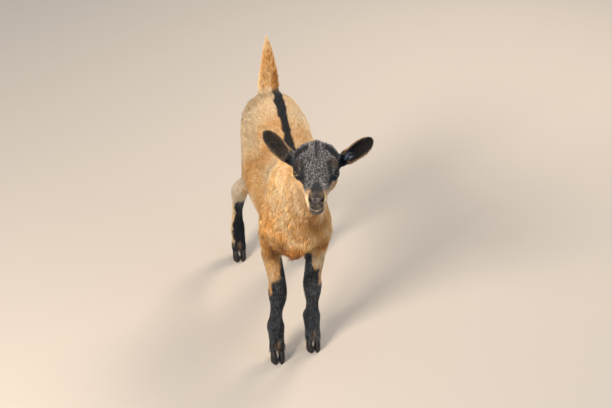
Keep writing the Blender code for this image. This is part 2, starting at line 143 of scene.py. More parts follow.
FEET = {  # where each foot stands, in the body's own frame
    "fore_left": (0.036, -0.101), "fore_right": (-0.042, -0.127),
    "hind_left": (0.083, 0.224), "hind_right": (-0.076, 0.246),
}
HIND_FROM, HOCK = 0.06, 0.182  # where the hind legs' part begins, and the height of the hocks
# A leg's middle line: each height, the share of the foot's y there, and the distance behind that.
FORE_LINE = [
    (0.054, 1, 0.015), (0.088, 0.75, -0.014), (0.11, 0.65, -0.025), (0.134, 0.55, -0.034),
    (0.155, 0.5, -0.038), (0.176, 0.45, -0.044), (0.2, 0.25, -0.062), (0.232, 0, -0.08),
]
HIND_LINE = [
    (0.054, 1, 0.014), (0.09, 1, 0.017), (0.116, 1, 0.015), (0.145, 1, 0.013),
    (0.168, 0.9, 0.0305), (0.19, 0.75, 0.053), (0.212, 0.45, 0.099), (0.24, 0.25, 0.118),
]


def beside_leg(points):
    """How far each point stands outwards and behind the middle line of its own leg."""
    x, y, z = in_body(points).T
    outward, behind = np.zeros(len(points)), np.zeros(len(points))
    for foot, (foot_x, foot_y) in FEET.items():
        way = np.sign(foot_x)
        if foot.startswith("fore"):
            line, mine = FORE_LINE, y < HIND_FROM
            heights, across = (0.11, 0.155, 0.25), (foot_x, way * 0.0365, way * 0.045)
        else:
            line, mine = HIND_LINE, y >= HIND_FROM
            heights, across = (0.1, 0.168, 0.24), (foot_x, foot_x * 0.93, way * 0.054)
        line, mine = np.array(line), mine & (x * way > 0)
        middle_x = np.interp(z, heights, across)
        middle_y = np.interp(z, line[:, 0], line[:, 1] * foot_y + line[:, 2])
        outward = np.where(mine, (x - middle_x) * way, outward)
        behind = np.where(mine, y - middle_y, behind)
    return outward, behind


def shares(points):
    """How far each point belongs to each part of the body, from 0 to 1, soft at the borders."""
    body, head = in_body(points), in_head(points)
    x, y, z = body.T
    part = SimpleNamespace(ear={})
    for side in SIDES:
        reach, off, *_ = along_ear(points, side)
        part.ear[side] = ramp(reach, 0.06, 0.2) * (off < 30 * MM)
    part.ears = ear = part.ear["left"] + part.ear["right"]
    past_nape = dot(head - (0, 0.044, 0), unit((0, 0.93, -0.36)))
    part.head = ramp(past_nape, 0.01, -0.006) * (1 - ear)
    below = dot(body - (0, -0.118, 0.388), unit((0, 0.66, -0.75)))
    part.neck = ramp(below, 0.012, -0.012) * (1 - part.head) * (1 - ear)
    past_croup = dot(body - (0, 0.212, 0.433), unit((0, -0.45, -0.89)))
    part.tail = ramp(past_croup, 0.006, -0.008) * (y > 0.15)
    part.fore = ramp(z, 0.275, 0.24) * (y < 0.03)
    part.hind = ramp(z, 0.285, 0.245) * (y > HIND_FROM)
    taken = part.head + ear + part.neck + part.tail + part.fore + part.hind
    part.trunk = np.clip(1 - taken, 0, 1)
    part.chest = part.trunk * ramp(y, -0.085, -0.135) * ramp(z, 0.405, 0.375)
    part.belly = part.trunk * ramp(z, 0.315, 0.275) * ramp(np.abs(x), 0.085, 0.05)
    return part


def coat_depth(points):
    """Thickness of the coat, from the hide to the tips of the hair."""
    part = shares(points)
    head, z = in_head(points), in_body(points)[:, 2]
    jaw = ramp(head[:, 2], -0.018, -0.036) * ramp(head[:, 1], -0.05, -0.015)
    poll = ramp(head[:, 1], 0.012, 0.04)
    on_head = 1.1 + 2.2 * jaw + 1.5 * poll - 0.7 * ramp(head[:, 1], -0.045, -0.06)
    throat = ramp(head[:, 2], 0, -0.05)
    on_tail = 1.2 + 3.6 * ramp(z, 0.56, 0.45)
    on_leg = 0.1 + ramp(z, 0.03, 0.045) + 0.7 * ramp(z, 0.09, 0.15) + 2.4 * ramp(z, 0.17, 0.25)
    depth = (
        part.head * on_head
        + part.neck * (4.2 + 2.6 * throat)
        + part.trunk * (3.8 + 4 * part.chest + 2 * part.belly)
        + part.tail * on_tail
        + (part.fore + part.hind) * on_leg
        + part.ears * 0.7
    )
    return depth * MM


def add_piece(name, mesh):
    piece = bpy.data.objects.new(name, mesh)
    scene.collection.objects.link(piece)
    return piece


def fit(piece, material, slot, *parts):
    """Finishes a piece, fixes it to the body and hides the CAD parts that it stands for."""
    piece.data.materials.clear()
    piece.data.materials.append(material)
    piece.data.shade_smooth()
    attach(piece, "root")
    if parts:
        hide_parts(*parts)


def modified(piece, **modifiers):
    """The piece's mesh after some modifiers, each given as its kind and its settings."""
    for kind, settings in modifiers.items():
        modifier = piece.modifiers.new(kind, kind)
        for name, value in settings.items():
            setattr(modifier, name, value)
    graph = bpy.context.evaluated_depsgraph_get()
    mesh = bpy.data.meshes.new_from_object(piece.evaluated_get(graph))
    piece.modifiers.clear()
    return mesh


def points_of(mesh, what="co"):
    """The places of a mesh's points or, for "normal", the ways that they face."""
    found = np.zeros(len(mesh.vertices) * 3, np.float32)
    mesh.vertices.foreach_get(what, found)
    return found.reshape(-1, 3).astype(float)


def mesh_from(bm, name):
    mesh = bpy.data.meshes.new(name)
    bm.to_mesh(mesh)
    bm.free()
    return mesh


def set_points(mesh, points):
    mesh.vertices.foreach_set("co", points.astype(np.float32).ravel())
    mesh.update()


def closed_shell(node):
    """A copy of a CAD part with its loose triangles joined."""
    shell = bmesh.new()
    shell.from_mesh(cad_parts[node].data)
    bmesh.ops.remove_doubles(shell, verts=shell.verts, dist=0.01 * MM)
    return shell


# The flesh parts are swelled a little, laid together and made one even closed net.
shells = bmesh.new()
for node in [*FLESH, "eye_left", "eye_right"]:
    shell = closed_shell(node)
    swell = EAR_FILL if node.startswith("ear") else SEAM_FILL
    for vert in shell.verts:
        vert.co += vert.normal * swell
    swelled = mesh_from(shell, "swelled")
    shells.from_mesh(swelled)
    bpy.data.meshes.remove(swelled)
flesh = add_piece("flesh", mesh_from(shells, "flesh"))
net_mesh = modified(
    flesh, REMESH={"mode": "VOXEL", "voxel_size": HIDE_GRAIN}, SMOOTH={"factor": 0.5, "iterations": 5}
)
bpy.data.objects.remove(flesh)

# The large masses are smoothed further than the head, the ears and the feet.
hide = add_piece("hide", net_mesh)
part = shares(points_of(net_mesh))
large = part.trunk + part.neck + 0.6 * (part.fore + part.hind) + 0.3 * part.tail
masses = hide.vertex_groups.new(name="masses")
for step in range(1, 11):
    chosen = np.nonzero(np.round(np.clip(large, 0, 1) * 10) == step)[0]
    masses.add(chosen.tolist(), step / 10, "REPLACE")
hide.data = modified(
    hide, SMOOTH={"factor": 0.5, "iterations": 14, "vertex_group": "masses"},
    DECIMATE={"ratio": 0.36, "vertex_group": "masses", "vertex_group_factor": 1},
)
hide.vertex_groups.clear()

# Finer faces on the head and ears, and finer again round the eyes and on the muzzle.
bm = bmesh.new()
bm.from_mesh(hide.data)


def refine(bm, wanted):
    """Halves the edges whose ends are both wanted. wanted is a test of the points."""
    bm.verts.ensure_lookup_table()
    chosen = wanted(np.array([v.co for v in bm.verts]))
    edges = [e for e in bm.edges if chosen[e.verts[0].index] and chosen[e.verts[1].index]]
    bmesh.ops.subdivide_edges(bm, edges=edges, cuts=1, use_grid_fill=True)
    bm.verts.index_update()


def wants_head(points):
    part = shares(points)
    return (part.head + part.ears > 0.4) | (in_body(points)[:, 2] < 0.058)


def from_eyes(points):
    """Distance from the middle of the nearer eye."""
    return np.minimum(*(np.linalg.norm(points - eyeball[side], axis=1) for side in SIDES))


def wants_features(points):
    head = in_head(points)
    on_muzzle = (head[:, 1] < -0.04) & (head[:, 2] > -0.048)
    return on_muzzle | (from_eyes(points) < 19 * MM)


refine(bm, wants_head)
at_head = wants_head(np.array([v.co for v in bm.verts]))
for _ in range(2):
    bmesh.ops.smooth_vert(
        bm, verts=[v for v, yes in zip(bm.verts, at_head) if yes], factor=0.5,
        use_axis_x=True, use_axis_y=True, use_axis_z=True,
    )
refine(bm, wants_features)
bmesh.ops.triangulate(bm, faces=[f for f in bm.faces if len(f.verts) > 4])
bm.to_mesh(hide.data)
bm.free()

points, normals = points_of(hide.data), points_of(hide.data, "normal")
part = shares(points)
sink = coat_depth(points) + SEAM_FILL * (1 - part.ears) + EAR_FILL * part.ears
points -= normals * sink[:, None]
set_points(hide.data, points)

# The cleft between the two toes of each foot, before and behind.
outward, behind = beside_leg(points)
low = ramp(in_body(points)[:, 2], 0.06, 0.04)
cleft = np.minimum(8 * MM * bell(outward, 0, 2.7 * MM) * low, np.abs(behind) * 0.8)
points[:, 1] -= np.sign(behind) * cleft
set_points(hide.data, points)


# Nose, lips and folds are pressed into the soft hide, in the head's own millimetres.
def stretch_of(head, middle, long_way, long_half, short_half):
    """Distance from the middle of an oval on the surface, 1 at its edge."""
    away = head - middle
    reach = dot(away, long_way)
    off = np.linalg.norm(away - reach[:, None] * long_way, axis=1)
    return np.sqrt((reach / long_half) ** 2 + (off / short_half) ** 2)


def pad_edge(hx):
    """Height of the lower edge of the nose pad: a V from nostril to nostril."""
    return -18 + 0.55 * np.abs(hx)


def mouth_height(hx, ahead):
    """Height of the mouth line: it climbs from its middle to each side and to the corners."""
    return -36 + 6 * ramp(np.abs(hx), 2, 14) + 4.5 * ramp(ahead, 60, 38)


points, normals = points_of(hide.data), points_of(hide.data, "normal")
head = in_head(points) / MM
hx, ahead, up = on_face(points)
front = ramp(ahead, 38, 46)
amount, hollow = np.zeros(len(points)), np.zeros(len(points))
for way in (1, -1):
    slant = unit((way * 0.62, 0.42, 0.55))
    nostril = stretch_of(head, (way * 11.6, -65, -10.4), slant, 5.4, 2.7)
    amount += 5.2 * ramp(nostril, 1.15, 0.45)
    hollow = np.maximum(hollow, ramp(nostril, 1.2, 0.8))
    amount -= 0.9 * bell(nostril, 1.75, 0.42) * ramp(way * hx, 8, 11)
    tear_fold = stretch_of(head, (way * 31.5, -17, -3.5), unit((way * 0.3, -0.85, -0.45)), 8.5, 2.2)
    amount += 0.9 * ramp(tear_fold, 1.3, 0.2)
    brow = stretch_of(head, (way * 33, 1, 17), unit((0, 1, 0)), 14, 5)
    amount -= 0.8 * ramp(brow, 1.3, 0)
philtrum = bell(hx, 0, 1) * ramp(up, -14, -17) * ramp(up, -36, -32)
amount += 1.5 * philtrum * ramp(ahead, 58, 62)
amount += 1.1 * bell(hx, 0, 2.2) * bell(up, -11, 5) * ramp(ahead, 60, 64)
below_pad = bell(up - pad_edge(hx), -0.6, 1.3) * ramp(np.abs(hx), 13, 11)
amount += 1.5 * below_pad * ramp(ahead, 58, 62)
amount -= 0.9 * bell(np.abs(hx), 5.2, 3.2) * bell(up, -10, 4.5) * front
to_mouth = up - mouth_height(hx, ahead)
mouth = ramp(ahead, 34, 42)
amount += 2.6 * bell(to_mouth, 0, 0.95) * mouth
amount -= 0.9 * bell(to_mouth, 2.6, 1.6) * mouth
amount -= 0.7 * bell(to_mouth, -2.4, 1.4) * mouth * ramp(ahead, 50, 60)
inside_ear = np.zeros(len(points))
for side, way in SIDES.items():
    reach, _, across, _ = along_ear(points, side)
    facing = dot(normals @ head_axes, EAR_FRONT[side])
    inner = part.ear[side] * ramp(facing, 0, 0.45) * ramp(reach, 0.98, 0.88)
    amount += 0.45 * inner * np.sin(across / (1.1 * MM)) * ramp(reach, 0.1, 0.3)
    inside_ear = np.maximum(inside_ear, inner)
points -= normals * (amount * MM)[:, None]
narrow = 0.17 * ramp(up, -15, -27) * ramp(ahead, 34, 52)
points -= (hx * MM * narrow)[:, None] * head_axes[:, 0]


def in_eye(points, side):
    """Turns points into an eye's frame: across the opening, up it and out along the gaze."""
    return (dot(points - eyeball[side], axis) for axis in look[side])


# The lids: a rolled rim drawn over each eyeball, with a fold above and the opening let in deep.
nostril_shade_and_lid_rims = hollow  # painted shade in the nostrils here, and the lids' own dark edges below
GAZE = {side: unit((way * 0.8, -0.56, 0.22)) for side, way in SIDES.items()}
look = {}
for side, way in SIDES.items():
    gaze = Vector(head_axes @ GAZE[side])
    crown = head_turn @ Vector((0, 0, 1))
    along = crown.cross(gaze).normalized()
    look[side] = (along, gaze.cross(along), gaze)
    p, q, r = in_eye(points, side)
    ahead_of = np.cos(np.clip(p / LID_OPENING[0], -1.5, 1.5) * 0.85)
    oval = np.sqrt((p / LID_OPENING[0]) ** 2 + (q / (LID_OPENING[1] * ahead_of)) ** 2)
    near = (r > 0) & (oval < 2.2)
    snap = near & (oval > 0.9) & (oval < 1.09)
    scale = np.where(snap, 1 / np.maximum(oval, 0.1), 1)
    inside = near & (oval < 1)
    p, q = p * scale, q * scale
    lateral = np.minimum(p * p + q * q, (EYE_RADIUS * 0.98) ** 2)
    ball = np.sqrt(EYE_RADIUS**2 - lateral)
    rolled = np.sqrt(np.maximum((EYE_RADIUS + LID_THICK) ** 2 - lateral, 0))
    rolled += 0.45 * MM * bell(oval, 1.14, 0.13) - 0.55 * MM * bell(oval, 1.52, 0.13) * (q > 0)
    lid = rolled + (r - rolled) * ramp(oval, 1.35, 2.1)
    r = np.where(near, np.where(inside, ball - SOCKET_DEPTH, lid), r)
    moved = sum(np.outer(v, axis) for v, axis in zip((p, q, r), look[side]))
    points = np.where(near[:, None], moved + eyeball[side], points)
    nostril_shade_and_lid_rims = np.maximum(nostril_shade_and_lid_rims, near * ramp(oval, 1.36, 1.18))
set_points(hide.data, points)


# Where each colour of the kid lies. The hide and the coat are both coloured by these.
def markings(points, facing):
    """Shares of black, pale and grizzled hair and of bare skin at each point, and how much lighter
    than usual its tan is, from its own tone and from painted light and shade."""
    part = shares(points)
    body, head = in_body(points), in_head(points) / MM
    x, y, z = body.T
    hx, ahead, up = on_face(points)
    aside = np.abs(hx)  # to either side of the middle of the face
    wander = ripple(points, 16 * MM, 5)
    on_head = part.head
    # The mask: from the poll to the nose, down to the eyes and narrow over the nostrils, with
    # dark rings round the eyes, a dark lip and chin, and a whorl over the place of each horn bud.
    half_mask = 42 - 16 * ramp(ahead, 4, 26) - 4 * ramp(ahead, 30, 40) - 9 * ramp(ahead, 38, 52)
    soft = 2 + 2.5 * ramp(ahead, 28, 42)
    low_mask = -5 - 3 * ramp(ahead, 30, 42) - 9 * ramp(ahead, 54, 60)
    mask = ramp(aside + 1.2 * wander, half_mask + soft, half_mask - soft)
    mask *= ramp(up + 1.5 * wander, low_mask - 2.5, low_mask + 2.5)
    mask = np.maximum(mask, ramp(ahead, 4, -10) * ramp(up + 2 * wander, -6, 1))
    temple = bell(aside, 32, 7) * bell(ahead, -6, 13) * ramp(up, 2, 12)
    mask *= 1 - 0.05 * temple
    mask = np.maximum(mask, ramp(from_eyes(points) / MM + 0.6 * wander, 15.5, 13))
    chin = ramp(aside, 12, 7) * ramp(ahead, 46, 54) * ramp(up, -35, -38)
    lip = ramp(aside, 15, 11) * ramp(ahead, 58, 62) * ramp(up - pad_edge(hx), 3, 0)
    lip *= 0.93 + 0.05 * ripple(points, 5 * MM, 7)
    beside_nostril = ramp(aside, 16.5, 13) * ramp(ahead, 54, 58) * ramp(up, -18, -14)
    mask = np.maximum.reduce([mask, 0.96 * chin, lip, 0.93 * beside_nostril])
    off_arc = np.abs(ahead + 29 - 0.35 * (aside - 20)) + wander
    whorl = ramp(off_arc, 8.5, 5) * ramp(aside, 13, 17) * ramp(aside, 42, 37) * (up > 8)
    parting = bell(hx, 0, 5.5) * ramp(ahead, -2, -18)
    whorl = on_head * np.maximum(whorl, 0.9 * parting)
    # Stripe along the top of the neck and the back, and dark stockings.
    spine_x = 0.0078 + 0.012 * ramp(y, -0.04, -0.2)
    half_stripe = 0.0076 + 0.002 * ramp(y, 0.08, 0.16) + 0.004 * ramp(y, 0, -0.15)
    off_spine = np.abs(x - spine_x) + 0.0007 * ripple(points * (1, 0.5, 1), 5 * MM, 12)
    stripe = ramp(off_spine, half_stripe + 0.0014, half_stripe - 0.0012)
    over_neck = dot(body - (0, -0.1, 0.42), (0, 0.75, 0.66)) > 0
    stripe *= np.where(y < -0.05, over_neck, z > 0.39) * (part.neck + part.trunk)
    stripe *= ramp(y, 0.214, 0.207)
    outward, behind = beside_leg(points)
    rough = 0.003 * wander + 0.002 * ripple(points, 6 * MM, 6)
    # Fore: black from the knee down and up the inner front; tan runs down the outer edge.
    top = 0.193 + 0.016 * (x > 0) + 0.04 * ramp(outward, -0.004, -0.011) * ramp(behind, 0.01, 0)
    outer_side = np.maximum(outward + 0.0045 * (x > 0), behind - 0.004)
    top -= (0.034 + 0.014 * (x > 0)) * ramp(outer_side, 0.0085, 0.013)
    fore = part.fore * ramp(z + rough, top + 0.006, top - 0.006)
    # Hind: black below the hock, with a pale back and outer edge down to the fetlock.
    top = 0.163 - 0.02 * ramp(behind + rough, 0.004, 0.013)
    hind = part.hind * ramp(z + 1.6 * rough, top + 0.006, top - 0.006)
    half_shank = np.interp(z, [0.075, 0.11, 0.15, 0.17], [0.014, 0.0106, 0.0122, 0.0138])
    to_side = outward / half_shank - 0.1 * ramp(behind, 0.002, -0.007)
    back_edge = np.maximum(behind / 0.012, to_side) + 40 * rough
    edging = part.hind * ramp(back_edge, 0.52, 0.7) * ramp(z, 0.036, 0.05)
    hind *= 1 - edging
    foot = (part.fore + part.hind) * ramp(z, 0.05, 0.036)
    between_toes = foot * bell(outward, 0, 0.0034)
    # Ears: black outside; inside browner, with a pale fringe that is partly painted back light,
    # strongest on the left ear, and grey hair at the left one's root.
    ear, in_ear, fringe_and_painted_rim_light = (np.zeros(len(points)) for _ in range(3))
    for side in SIDES:
        reach, _, _, to_edge = along_ear(points, side)
        cup = ramp(facing @ head_axes @ EAR_FRONT[side], 0, 0.35)
        ear += part.ear[side]
        in_ear += part.ear[side] * cup
        edge = np.maximum(ramp(to_edge, 0.76, 0.9), ramp(reach, 0.95, 1))
        # The pale fringe is partly the hair's own and partly painted back light, stronger on the left
        # ear.
        fringe_and_painted_rim_light += part.ear[side] * edge * (0.95 if side == "left" else 0.5)
    root_patch = stretch_of(head, (56, 44, 10), EAR_AIM["left"], 12, 7)
    root_patch = (part.ear["left"] + on_head) * ramp(root_patch + 0.2 * wander, 1.15, 0.6)
    root_patch *= ramp(facing @ head_axes @ EAR_FRONT["left"], -0.1, 0.3)
    ear *= (1 - 0.6 * fringe_and_painted_rim_light) * (1 - 0.02 * in_ear)
    black = np.maximum(np.clip(on_head * mask + ear + stripe + fore + hind, 0, 1), whorl)
    black *= 1 - 0.65 * between_toes
    lip_line = on_head * bell(up - mouth_height(hx, ahead), 3.3, 1.1) * ramp(ahead, 44, 52)
    black *= 1 - 0.45 * lip_line
    nose_top = on_head * bell(ahead, 59.5, 3.5) * ramp(aside, 14, 9) * ramp(up, -9, -5)
    black *= 1 - (0.07 + 0.04 * ripple(points, 5 * MM, 8)) * nose_top
    # Grizzle on the brow, beside the dark bridge of the nose, and thinly on the forelegs.
    half_brow = 25 + 18 * ramp(ahead, -2, -20)
    brow = ramp(aside + 1.5 * wander, half_brow, half_brow - 8) * ramp(ahead, -56, -46)
    beside_brow = 0.55 * bell(aside, 30, 3) * bell(ahead, 4, 13) * ramp(up, 4, 9)
    half_slate = 4.5 + 6 * ramp(ahead, 38, 53)
    slate = ramp(aside, half_slate + 2.5, half_slate - 2.5) * ramp(ahead, 35, 43)
    grizzle = on_head * np.maximum(brow, beside_brow) * ramp(ahead, 60, 50) * (1 - slate)
    grizzle *= (1 - whorl) * ramp(up, -14, -6)
    grizzle *= 1 - 0.45 * ramp(ahead, 42, 50) * ramp(aside, 9, 13)
    grizzle = np.maximum.reduce([grizzle, 0.13 * fore, 0.95 * root_patch, 0.03 * in_ear])
    # Pale hair on the hocks, the shanks' edges, the muzzle, the cheeks and the throat.
    hock = part.hind * bell(z, 0.18, 0.025) * (0.6 + 0.4 * ramp(behind, -0.012, 0.004))
    jaw = on_head * ramp(up, -4, -9) * bell(ahead, 34, 24) * ramp(aside, 12, 17)
    muzzle = on_head * ramp(ahead, 34, 44) * ramp(aside, 10, 16)
    lip_tips = on_head * 0.7 * ramp(ahead, 58, 62) * ramp(up, -5, -10)
    throat = part.neck * bell(x, 0, 0.016) * ramp(z, 0.37, 0.43) * ramp(y, -0.12, -0.17)
    pale = 0.7 * hock + 0.8 * edging + 0.65 * jaw + 0.78 * muzzle + lip_tips + 0.6 * throat
    pale += 0.8 * between_toes + 0.45 * fringe_and_painted_rim_light + 0.8 * nose_top + lip_line
    pale = np.clip(pale, 0, 1)
    # Bare skin: the pad between the nostrils and the edges of the lips.
    pad = ramp(ahead, 59.5, 62.5) * ramp(up - pad_edge(hx), -1, 1) * ramp(up, -4, -7)
    pad *= ramp(aside + 0.4 * np.abs(up + 9), 12.5, 10.5)
    lips = ramp(np.abs(up - mouth_height(hx, ahead)), 2, 1) * ramp(ahead, 40, 46)
    bare = on_head * np.clip(pad + lips, 0, 1)
    # Painted light on the rump and the sides of the neck, a little lighter tan on the trunk and the
    # tail, and painted shade under the breast and on the lower left side of the tail.
    light = 0.26 * part.trunk * ramp(y, 0.02, 0.12) * ramp(z, 0.33, 0.38)
    light += 0.17 * part.neck * ramp(np.abs(x - 0.012), 0.015, 0.035)
    light += 0.06 * part.trunk * (1 - part.chest) + 0.02 * part.tail
    # Painted shade under the breast.
    light += part.chest * (0.02 - 0.25 * ramp(z, 0.335, 0.29))
    # Painted shadow on the lower part of the tail's left side.
    light -= 0.34 * part.tail * ramp(x, -0.006, 0.001) * ramp(z, 0.5, 0.46)
    streak = ripple(points * (1, 1, 0.22), 10 * MM, 9)
    light += 0.09 * streak * (part.chest + part.neck + 0.8 * part.fore)
    # Painted light on the forelegs and the hocks; the pale hind edges are lighter in tone and the
    # stripe's black darker.
    light += 0.15 * part.fore + 0.45 * hock + 0.2 * edging - 0.35 * stripe
    # On the head, a painted lilac-grey sheen on the crown each side of the whorls, and lilac-grey
    # hair beside and over the bridge of the nose and at the left ear's root.
    crown = ramp(ahead, -8, -20) * ramp(aside, 46, 38) * ramp(up, 8, 16) * (1 - whorl)
    beside_slate = ramp(ahead, 26, 40) * ramp(aside, half_slate, half_slate + 3)
    light += on_head * mask * (0.45 * crown + 0.35 * beside_slate + 0.34 * slate) + 0.8 * root_patch
    return {"black": black, "pale": pale, "grizzle": grizzle, "bare": bare, "light": light}


def linear(hex_colour):
    """An sRGB hex colour as linear red, green, blue and alpha."""
    values = [int(hex_colour[i : i + 2], 16) / 255 for i in (1, 3, 5)]
    values = [v / 12.92 if v <= 0.04045 else ((v + 0.055) / 1.055) ** 2.4 for v in values]
    return (*values, 1)


def put_attribute(mesh, name, values):
    made = mesh.attributes.new(name, "FLOAT", "POINT")
    made.data.foreach_set("value", values.astype(np.float32))


points = points_of(hide.data)
marks = markings(points, points_of(hide.data, "normal"))
marks["rim"] = nostril_shade_and_lid_rims
marks["concha"] = inside_ear
for name, values in marks.items():
    put_attribute(hide.data, name, values)


SHARE, UNDER, OVER = 0, 6, 7  # a Mix node's sockets when it mixes colours
MIXED = {"data_type": "RGBA", "out": 2}  # sets it to colours and takes the mixed one


def add_node(tree, kind, inputs=(), steps=(), out=0, **settings):
    """Adds one node, or sets up the one given, and hands back one of its outputs. inputs and
    settings are values or other nodes' outputs. steps are a colour ramp's (place, colour) stops."""
    made = tree.nodes.new("ShaderNode" + kind) if isinstance(kind, str) else kind
    for name, value in [*settings.items(), *dict(inputs).items()]:
        name = name.replace("_", " ") if str(name)[0].isupper() else name
        if isinstance(value, bpy.types.NodeSocket):
            tree.links.new(value, made.inputs[name])
        elif str(name)[0].islower():
            setattr(made, name, value)
        else:
            made.inputs[name].default_value = value
    while steps and len(made.color_ramp.elements) < len(steps):
        made.color_ramp.elements.new(0.5)
    for number, (place, colour) in enumerate(steps):
        made.color_ramp.elements[number].position = place
        made.color_ramp.elements[number].color = linear(colour)
    return made.outputs[out]


def new_material(name):
    """A material, its shader, and add_node made ready for its nodes."""
    material = bpy.data.materials.new(name)
    material.use_nodes = True
    tree = material.node_tree
    return material, tree.nodes["Principled BSDF"], partial(add_node, tree)


# Tanned goat hide under close hair: dull, with the fine lie of short fur in its bump. The nose and
# lips are bare skin with a fine pebble, and shine a little as they are damp; the lids' edges are bare
# too, without the pebble and shine.
hide_skin, shader, add = new_material("tanned goat hide")
here = {"Vector": add("TexCoord", out="Object")}
marked = {name: add("Attribute", attribute_name=name, out="Fac") for name in marks}
# Shades of tan about 18 mm across, salt and pepper flecks 2.4 mm apart, hairs 1.5 mm apart.
mottle, fleck, short_fur = (
    add("TexNoise", here, Scale=1 / (size * MM), Detail=detail)
    for size, detail in ((18, 4), (2.4, 1), (1.5, 2))
)
# The markings' painted light and shade, with their own tone, lighten and darken the tan.
shade = add("Math", {0: mottle, 1: marked["light"]}, operation="ADD")
toned = add("ValToRGB", {0: shade}, [(0.25, "#9A6234"), (0.5, "#C28B55"), (0.8, "#E3B88A")])
salt = add("ValToRGB", {0: fleck}, [(0.46, "#1B1E24"), (0.6, "#A9A8A8")])
nose_tint = add("ValToRGB", {0: short_fur}, [(0.3, "#2F2B2F"), (0.5, "#464142"), (0.72, "#676060")])
# rim darkens the lids' own dark edges and paints shade into the nostrils.
for share, other in (
    ("pale", linear("#DEC29C")), ("black", linear("#0E1116")), ("grizzle", salt),
    ("concha", linear("#0D0A09")), ("bare", nose_tint), ("rim", linear("#121214")),
):
    toned = add("Mix", {SHARE: marked[share], UNDER: toned, OVER: other}, **MIXED)
# The bare skin is cobbled all over with pebbles 1.3 mm across.
pebble = add("TexVoronoi", here, Scale=1 / (1.3 * MM))
pebbled = add("Math", {0: pebble, 1: marked["bare"]}, operation="MULTIPLY")
height = add("Math", {0: short_fur, 1: pebbled}, operation="SUBTRACT")
relief = add("Bump", Height=height, Strength=0.55, Distance=0.6 * MM)
gloss = add("MapRange", Value=marked["bare"], To_Min=0.78, To_Max=0.34)
add(
    shader, Base_Color=toned, Normal=relief, Roughness=gloss, IOR=1.42, Specular_IOR_Level=0.3,
    Sheen_Weight=0.05, Sheen_Roughness=0.5,
)
fit(hide, hide_skin, "coat", *FLESH)

# ---- Eyes ----
# Glass eyes, as a taxidermist sets them: a blown ball with a pale grey-gold iris painted behind
# clear glass and the kid's level, oblong pupil. Each is set in its socket behind the lids.
IRIS_HALF = 7.6 * MM
PUPIL_HALF = (4.5 * MM, 2.1 * MM)
PAINTED_WIDTH = 2.2 * EYE_RADIUS  # the square that the painting fills, across the eye


def make_eye(side, material):
    along, crown, gaze = look[side]
    bm = bmesh.new()
    bmesh.ops.create_uvsphere(bm, u_segments=48, v_segments=32, radius=EYE_RADIUS)
    layer = bm.loops.layers.uv.new("painted")
    for face in bm.faces:
        for loop in face.loops:
            spot = loop.vert.co / PAINTED_WIDTH
            loop[layer].uv = 0.5 + spot.x, 0.5 + spot.y
    for vert in bm.verts:
        # The clear front of an eye stands a little proud of the ball.
        bulge = 0.35 * MM * float(ramp(np.array(vert.co.z), 7.6 * MM, 10 * MM))
        vert.co.z += bulge
        spot = vert.co.copy()
        vert.co = eyeball[side] + along * spot.x + crown * spot.y + gaze * spot.z
    name = f"glass_eye_{side}"
    fit(add_piece(name, mesh_from(bm, name)), material, "eye", f"eye_{side}")


# Painted glass: the iris is faintly streaked and darkens at its rim, and the wet-looking
# highlight comes from a hard clear coat.
eye_glass, shader, add = new_material("painted glass eye")
painted = add("UVMap", uv_map="painted")
centred = add(
    "Mapping", Vector=painted, Location=(-PAINTED_WIDTH / 2, -PAINTED_WIDTH / 2, 0),
    Scale=(PAINTED_WIDTH, PAINTED_WIDTH, 1),
)
far = add("VectorMath", {0: centred}, operation="LENGTH", out="Value")
far_share = add("MapRange", Value=far, From_Max=EYE_RADIUS)
iris_edge = IRIS_HALF / EYE_RADIUS
iris = add("ValToRGB", {0: far_share}, [
    (0, "#3A3226"), (0.3, "#7A6F56"), (iris_edge - 0.2, "#9C937A"),
    (iris_edge - 0.04, "#2A2622"), (iris_edge + 0.06, "#1E1A18"),
])
streaks = add("TexNoise", Vector=centred, Scale=1 / (1.1 * MM), Detail=3, out="Color")
streaky = add("Mix", {SHARE: 0.7, UNDER: iris, OVER: streaks}, blend_type="SOFT_LIGHT", **MIXED)
oblong = add("Mapping", Vector=centred, Scale=(1 / PUPIL_HALF[0], 1 / PUPIL_HALF[1], 1))
squared = add("VectorMath", {0: oblong, 1: oblong}, operation="MULTIPLY")
from_pupil = add("VectorMath", {0: squared}, operation="LENGTH", out="Value")
pupil = add("ValToRGB", {0: from_pupil}, [(0.88, "#FFFFFF"), (1, "#000000")])
seen = add("Mix", {SHARE: pupil, UNDER: streaky, OVER: linear("#08090B")}, **MIXED)
add(
    shader, Base_Color=seen, Roughness=0.3, IOR=1.38, Specular_IOR_Level=0.1, Coat_Weight=0.6,
    Coat_IOR=1.4, Coat_Roughness=0.02,
)
for side in SIDES:
    make_eye(side, eye_glass)

# ---- Claws ----
# Two horn claws on each foot and two dewclaws behind the fetlock: dark horn, grown in faint
# level rings. Each is the real sheath, set on the hide's cut edge.


def real_faces(node):
    """A CAD part as one closed shell, with its flat triangles joined into its real faces."""
    shell = closed_shell(node)
    bmesh.ops.dissolve_limit(shell, angle_limit=math.radians(4), verts=shell.verts, edges=shell.edges)
    return shell


def smoothed(copied):
    """The shell after two rounds of subdivision, with the edge of its sole kept sharp."""
    crease = copied.edges.layers.float.new("crease_edge")
    for edge in copied.edges:
        sole = [abs(v.co.z) < 0.2 * MM for v in edge.verts]
        flat = [abs(f.normal.z) > 0.99 for f in edge.link_faces]
        if all(sole) and any(flat) and not all(flat):
            edge[crease] = 0.75
    shell = add_piece("shell", mesh_from(copied, "shell"))
    made = modified(shell, SUBSURF={"levels": 2, "render_levels": 2})
    bpy.data.objects.remove(shell)
    return made


